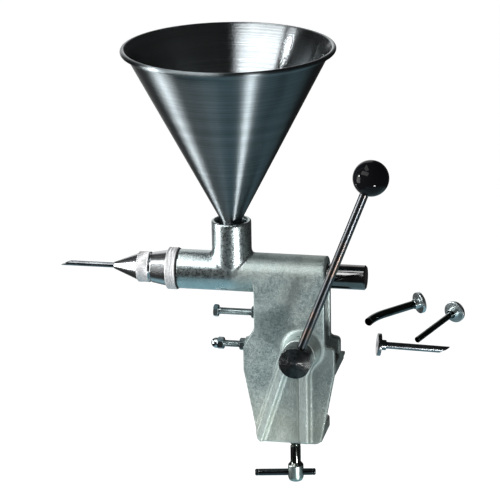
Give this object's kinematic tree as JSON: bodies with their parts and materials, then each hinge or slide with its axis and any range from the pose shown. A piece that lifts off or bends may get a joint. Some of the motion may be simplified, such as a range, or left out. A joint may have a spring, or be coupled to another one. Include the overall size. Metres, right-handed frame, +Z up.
{
  "type": "filling machine",
  "caption": "Hand-lever filling machine for pastry: steel hopper over a plunger barrel, injection nozzle with union nut, and a screw clamp for the table edge.",
  "frame": {"origin": "underside of the upper jaw's pad on the clamp screw's axis, which is the table's top surface", "axes": "+X towards the rear of the barrel, away from the nozzle, +Y away from the operator and the lever, +Z up"},
  "size_m": [0.4414, 0.3415, 0.515],
  "materials": {
    "cast_housing": "as cast, matte, grey-green",
    "bearing_bronze": "bored bearing bronze",
    "turned_steel": "turned, bright",
    "rod_steel": "drawn, dark bright",
    "knob_plastic": "moulded, glossy black",
    "arm_steel": "milled",
    "spring_steel": "black spring steel",
    "plunger_steel": "ground and polished",
    "hopper_steel": "spun sheet, fine rings",
    "seal_rubber": "smooth black",
    "outlet_metal": "turned and polished cone, blasted grip ring",
    "nozzle_steel": "drawn tube",
    "screw_steel": "zinc plated thread",
    "nut_steel": "zinc plated",
    "dome_steel": "polished",
    "jaw_rubber": "ribbed black",
    "clamp_steel": "zinc plated",
    "bar_steel": "drawn bar",
    "spare_steel_dark": "dark drawn tube, bright flange",
    "spare_steel_bright": "drawn tube"
  },
  "bodies": {
    "base": {"housing": "cast_housing", "front_bush": "bearing_bronze", "rear_bush": "bearing_bronze", "hopper_seal": "seal_rubber", "barrel_gasket": "seal_rubber", "reducer": "outlet_metal", "nozzle_seal": "seal_rubber", "upper_lock_nut": "nut_steel", "lower_lock_nut": "nut_steel", "jaw_pad": "jaw_rubber", "spare_nozzle_curved": "spare_steel_dark", "spare_nozzle_short": "spare_steel_dark", "spare_nozzle_straight": "spare_steel_bright"},
    "lever": {"lever_shaft": "turned_steel", "lever_rod": "rod_steel", "ball_knob": "knob_plastic", "crank_arm": "arm_steel", "arm_pin": "spring_steel", "thrust_washers": "bearing_bronze", "shaft_circlip": "spring_steel"},
    "plunger": {"plunger": "plunger_steel", "plunger_ring": "seal_rubber"},
    "hopper": {"hopper": "hopper_steel"},
    "nozzle": {"nozzle": "nozzle_steel"},
    "union_nut": {"union_nut": "outlet_metal"},
    "pressure_pad": {"pressure_pad": "clamp_steel"},
    "clamp_spindle": {"clamp_spindle": "clamp_steel"},
    "tommy_bar": {"tommy_bar": "bar_steel"},
    "upper_stop": {"upper_stop_screw": "screw_steel"},
    "lower_stop": {"lower_stop_stud": "screw_steel", "dome_nut": "dome_steel"}
  },
  "joints": [
    {"name": "lever_swing", "type": "hinge", "parent": "base", "child": "lever", "pos_m": [0.0157, -0.012, 0.0332], "axis": [0, -1, 0], "range_deg": [0, 26]},
    {"name": "plunger_slide", "type": "slide", "parent": "base", "child": "plunger", "axis": [-1, 0, 0], "range_m": [0, 0.03665]},
    {"name": "hopper_lift", "type": "slide", "parent": "base", "child": "hopper", "axis": [0, 0, 1], "range_m": [0, 0.06]},
    {"name": "nozzle_out", "type": "slide", "parent": "base", "child": "nozzle", "axis": [-1, 0, 0], "range_m": [0, 0.007]},
    {"name": "union_nut_turn", "type": "hinge", "parent": "nozzle", "child": "union_nut", "pos_m": [-0.18, -0.012, 0.114], "axis": [-1, 0, 0], "range_deg": [0, 1686]},
    {"name": "clamp_travel", "type": "slide", "parent": "base", "child": "pressure_pad", "axis": [0, 0, 1], "range_m": [-0.008, 0.031]},
    {"name": "clamp_turn", "type": "hinge", "parent": "pressure_pad", "child": "clamp_spindle", "pos_m": [0, 0, -0.06], "axis": [0, 0, 1], "range_deg": [-966, 3726]},
    {"name": "tommy_slide", "type": "slide", "parent": "clamp_spindle", "child": "tommy_bar", "axis": [0.9816, 0.1908, 0], "range_m": [-0.012, 0.036]},
    {"name": "upper_stop_out", "type": "slide", "parent": "base", "child": "upper_stop", "axis": [-1, 0, 0], "range_m": [0, 0.02]},
    {"name": "lower_stop_out", "type": "slide", "parent": "base", "child": "lower_stop", "axis": [-1, 0, 0], "range_m": [0, 0.02]}
  ],
  "couplings": [
    {"joint": "plunger_slide", "follows": "lever_swing", "m_per_rad": 0.080692},
    {"joint": "union_nut_turn", "follows": "nozzle_out", "rad_per_m": 4188.8},
    {"joint": "clamp_turn", "follows": "clamp_travel", "rad_per_m": 2094.4}
  ]
}
